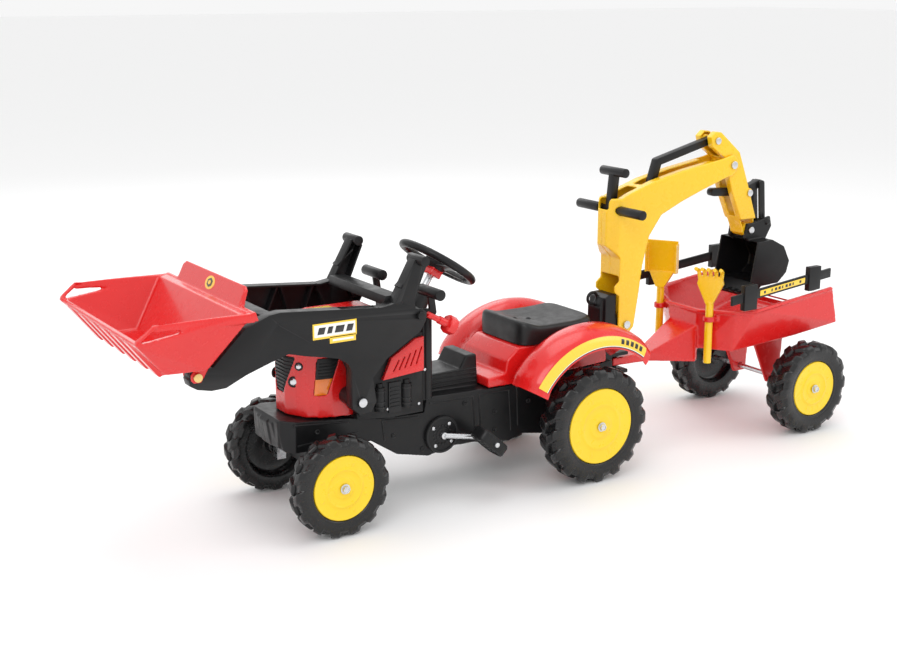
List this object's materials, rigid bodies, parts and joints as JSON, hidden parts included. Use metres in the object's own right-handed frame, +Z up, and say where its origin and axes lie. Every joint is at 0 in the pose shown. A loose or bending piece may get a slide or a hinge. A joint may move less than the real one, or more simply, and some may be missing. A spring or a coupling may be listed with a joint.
{
  "type": "ride on digger",
  "caption": "Pedal tractor for a child with a front loader, a rear excavator arm worked by levers, and a towed trailer that carries a hand rake and a spade.",
  "frame": {"origin": "on the ground, under the middle of the whole vehicle, trailer and loader included", "axes": "-X is forward, +X is towards the trailer, +Z is up, -Y is the rider's left"},
  "size_m": [1.746, 0.42, 0.702],
  "materials": {
    "red_shell": "glossy moulded",
    "black_shell": "satin moulded",
    "yellow_shell": "glossy moulded",
    "yellow_disc": "glossy moulded",
    "tyre_black": "satin moulded",
    "zinc_steel": "zinc plated",
    "brass_pin": "yellow zinc plated",
    "amber_lens": "clear moulded"
  },
  "bodies": {
    "tractor": {"chassis_body": "black_shell", "hood": "red_shell", "grille_strips": "black_shell", "lamp_lenses": "amber_lens", "cowl_panels": "black_shell", "firewall": "black_shell", "vent_panels": "red_shell", "steering_boot": "black_shell", "crank_covers": "black_shell", "drive_chain": "zinc_steel", "fender_unit": "red_shell", "seat": "black_shell", "front_axle_beam": "black_shell", "hitch_post": "black_shell", "body_bolts": "zinc_steel"},
    "steering": {"steering_column": "zinc_steel", "steering_wheel": "black_shell"},
    "horn": {"horn_button": "red_shell"},
    "tie_rod": {"tie_rod": "zinc_steel"},
    "knuckle_left": {"stub_axle_left": "zinc_steel"},
    "knuckle_right": {"stub_axle_right": "zinc_steel"},
    "front_wheel_left": {"front_tyre_left": "tyre_black", "front_disc_left": "yellow_disc"},
    "front_wheel_right": {"front_tyre_right": "tyre_black", "front_disc_right": "yellow_disc"},
    "rear_wheels": {"rear_axle": "zinc_steel", "rear_tyres": "tyre_black", "rear_discs": "yellow_disc"},
    "crank": {"crankshaft": "zinc_steel"},
    "pedal_left": {"pedal_left": "black_shell"},
    "pedal_right": {"pedal_right": "black_shell"},
    "loader": {"loader_arm_left": "black_shell", "loader_arm_right": "black_shell", "loader_beams": "black_shell", "lock_knobs": "red_shell"},
    "bucket": {"loader_bucket": "red_shell", "bucket_pins": "brass_pin"},
    "bucket_levers": {"bucket_levers": "black_shell"},
    "swivel": {"swivel_bracket": "black_shell"},
    "boom": {"boom_shell_left": "yellow_shell", "boom_shell_right": "yellow_shell", "boom_bolts": "zinc_steel", "grip_bar": "black_shell"},
    "t_lever": {"t_lever": "black_shell"},
    "stick": {"stick": "yellow_shell", "stick_bolts": "zinc_steel"},
    "stick_link": {"stick_link": "black_shell"},
    "scoop_lever": {"scoop_lever": "black_shell"},
    "scoop_link": {"scoop_link": "black_shell"},
    "digger_bucket": {"digger_bucket": "black_shell"},
    "trailer": {"trailer_tub": "red_shell", "side_rails": "black_shell", "trailer_axle": "zinc_steel"},
    "trailer_wheel_left": {"trailer_tyre_left": "tyre_black", "trailer_disc_left": "yellow_disc"},
    "trailer_wheel_right": {"trailer_tyre_right": "tyre_black", "trailer_disc_right": "yellow_disc"},
    "rake": {"rake": "yellow_shell"},
    "spade": {"spade": "yellow_shell"}
  },
  "joints": [
    {"name": "steering_turn", "type": "hinge", "parent": "tractor", "child": "steering", "pos_m": [-0.147, 0, 0.475], "axis": [0.5592, 0, 0.829], "range_deg": [-40, 40]},
    {"name": "horn_press", "type": "slide", "parent": "steering", "child": "horn", "axis": [-0.5592, 0, -0.829], "range_m": [0, 0.003], "stiffness_N_per_m": 300},
    {"name": "tie_rod_slide", "type": "slide", "parent": "tractor", "child": "tie_rod", "axis": [0, 1, 0], "range_m": [-0.027, 0.027]},
    {"name": "knuckle_turn_left", "type": "hinge", "parent": "tractor", "child": "knuckle_left", "pos_m": [-0.462, -0.112, 0.1], "axis": [0, 0, 1], "range_deg": [-24.5, 24.5]},
    {"name": "knuckle_turn_right", "type": "hinge", "parent": "tractor", "child": "knuckle_right", "pos_m": [-0.462, 0.112, 0.1], "axis": [0, 0, 1], "range_deg": [-24.5, 24.5]},
    {"name": "front_spin_left", "type": "hinge", "parent": "knuckle_left", "child": "front_wheel_left", "pos_m": [-0.462, -0.15, 0.1], "axis": [0, 1, 0], "continuous": true},
    {"name": "front_spin_right", "type": "hinge", "parent": "knuckle_right", "child": "front_wheel_right", "pos_m": [-0.462, 0.15, 0.1], "axis": [0, 1, 0], "continuous": true},
    {"name": "rear_spin", "type": "hinge", "parent": "tractor", "child": "rear_wheels", "pos_m": [0.137, 0, 0.125], "axis": [0, 1, 0], "continuous": true},
    {"name": "crank_turn", "type": "hinge", "parent": "tractor", "child": "crank", "pos_m": [-0.188, 0, 0.134], "axis": [0, 1, 0], "continuous": true},
    {"name": "pedal_spin_left", "type": "hinge", "parent": "crank", "child": "pedal_left", "pos_m": [-0.107, -0.135, 0.12], "axis": [0, 1, 0], "continuous": true},
    {"name": "pedal_spin_right", "type": "hinge", "parent": "crank", "child": "pedal_right", "pos_m": [-0.269, 0.135, 0.148], "axis": [0, 1, 0], "continuous": true},
    {"name": "loader_lift", "type": "hinge", "parent": "tractor", "child": "loader", "pos_m": [-0.404, 0, 0.253], "axis": [0, 1, 0], "range_deg": [-46, 16]},
    {"name": "bucket_tilt", "type": "hinge", "parent": "loader", "child": "bucket", "pos_m": [-0.738, 0, 0.356], "axis": [0, -1, 0], "range_deg": [0, 65]},
    {"name": "bucket_lever_pull", "type": "hinge", "parent": "loader", "child": "bucket_levers", "pos_m": [-0.273, 0, 0.407], "axis": [0, 1, 0], "range_deg": [0, 17]},
    {"name": "digger_swivel", "type": "hinge", "parent": "tractor", "child": "swivel", "pos_m": [0.273, 0, 0.285], "axis": [0, 0, 1], "range_deg": [-9, 9]},
    {"name": "boom_lift", "type": "hinge", "parent": "swivel", "child": "boom", "pos_m": [0.328, 0, 0.288], "axis": [0, -1, 0], "range_deg": [-4, 15]},
    {"name": "t_lever_pull", "type": "hinge", "parent": "boom", "child": "t_lever", "pos_m": [0.302, 0, 0.546], "axis": [0, 1, 0], "range_deg": [-5.5, 16]},
    {"name": "stick_swing", "type": "hinge", "parent": "boom", "child": "stick", "pos_m": [0.631, 0, 0.624], "axis": [0, 1, 0], "range_deg": [-15, 5]},
    {"name": "stick_link_turn", "type": "hinge", "parent": "stick", "child": "stick_link", "pos_m": [0.585, 0, 0.681], "axis": [0, 1, 0], "range_deg": [-6, 17]},
    {"name": "scoop_curl", "type": "hinge", "parent": "stick", "child": "digger_bucket", "pos_m": [0.7, 0, 0.466], "axis": [0, 1, 0], "range_deg": [-18, 20]},
    {"name": "scoop_lever_turn", "type": "hinge", "parent": "stick", "child": "scoop_lever", "pos_m": [0.692, 0, 0.554], "axis": [0, 1, 0], "range_deg": [-18.5, 20.5]},
    {"name": "scoop_link_turn", "type": "hinge", "parent": "scoop_lever", "child": "scoop_link", "pos_m": [0.744, 0, 0.57], "axis": [0, 1, 0], "range_deg": [-20.5, 18.5]},
    {"name": "trailer_yaw", "type": "hinge", "parent": "tractor", "child": "trailer", "pos_m": [0.325, 0, 0.197], "axis": [0, 0, 1], "range_deg": [-10, 10]},
    {"name": "trailer_spin_left", "type": "hinge", "parent": "trailer", "child": "trailer_wheel_left", "pos_m": [0.77, -0.17, 0.108], "axis": [0, 1, 0], "continuous": true},
    {"name": "trailer_spin_right", "type": "hinge", "parent": "trailer", "child": "trailer_wheel_right", "pos_m": [0.77, 0.17, 0.108], "axis": [0, 1, 0], "continuous": true},
    {"name": "rake_lift", "type": "slide", "parent": "trailer", "child": "rake", "axis": [0, 0, 1], "range_m": [0, 0.15]},
    {"name": "spade_lift", "type": "slide", "parent": "trailer", "child": "spade", "axis": [0, 0, 1], "range_m": [0, 0.15]}
  ],
  "couplings": [
    {"joint": "tie_rod_slide", "follows": "steering_turn", "m_per_rad": 0.0375},
    {"joint": "knuckle_turn_left", "follows": "steering_turn", "ratio": 0.6},
    {"joint": "knuckle_turn_right", "follows": "steering_turn", "ratio": 0.6},
    {"joint": "crank_turn", "follows": "rear_spin", "ratio": 0.91667},
    {"joint": "bucket_lever_pull", "follows": "bucket_tilt", "ratio": 0.25},
    {"joint": "t_lever_pull", "follows": "stick_swing", "ratio": -1.04},
    {"joint": "stick_link_turn", "follows": "stick_swing", "ratio": -1.11},
    {"joint": "scoop_lever_turn", "follows": "scoop_curl", "ratio": 1},
    {"joint": "scoop_link_turn", "follows": "scoop_curl", "ratio": -1}
  ]
}
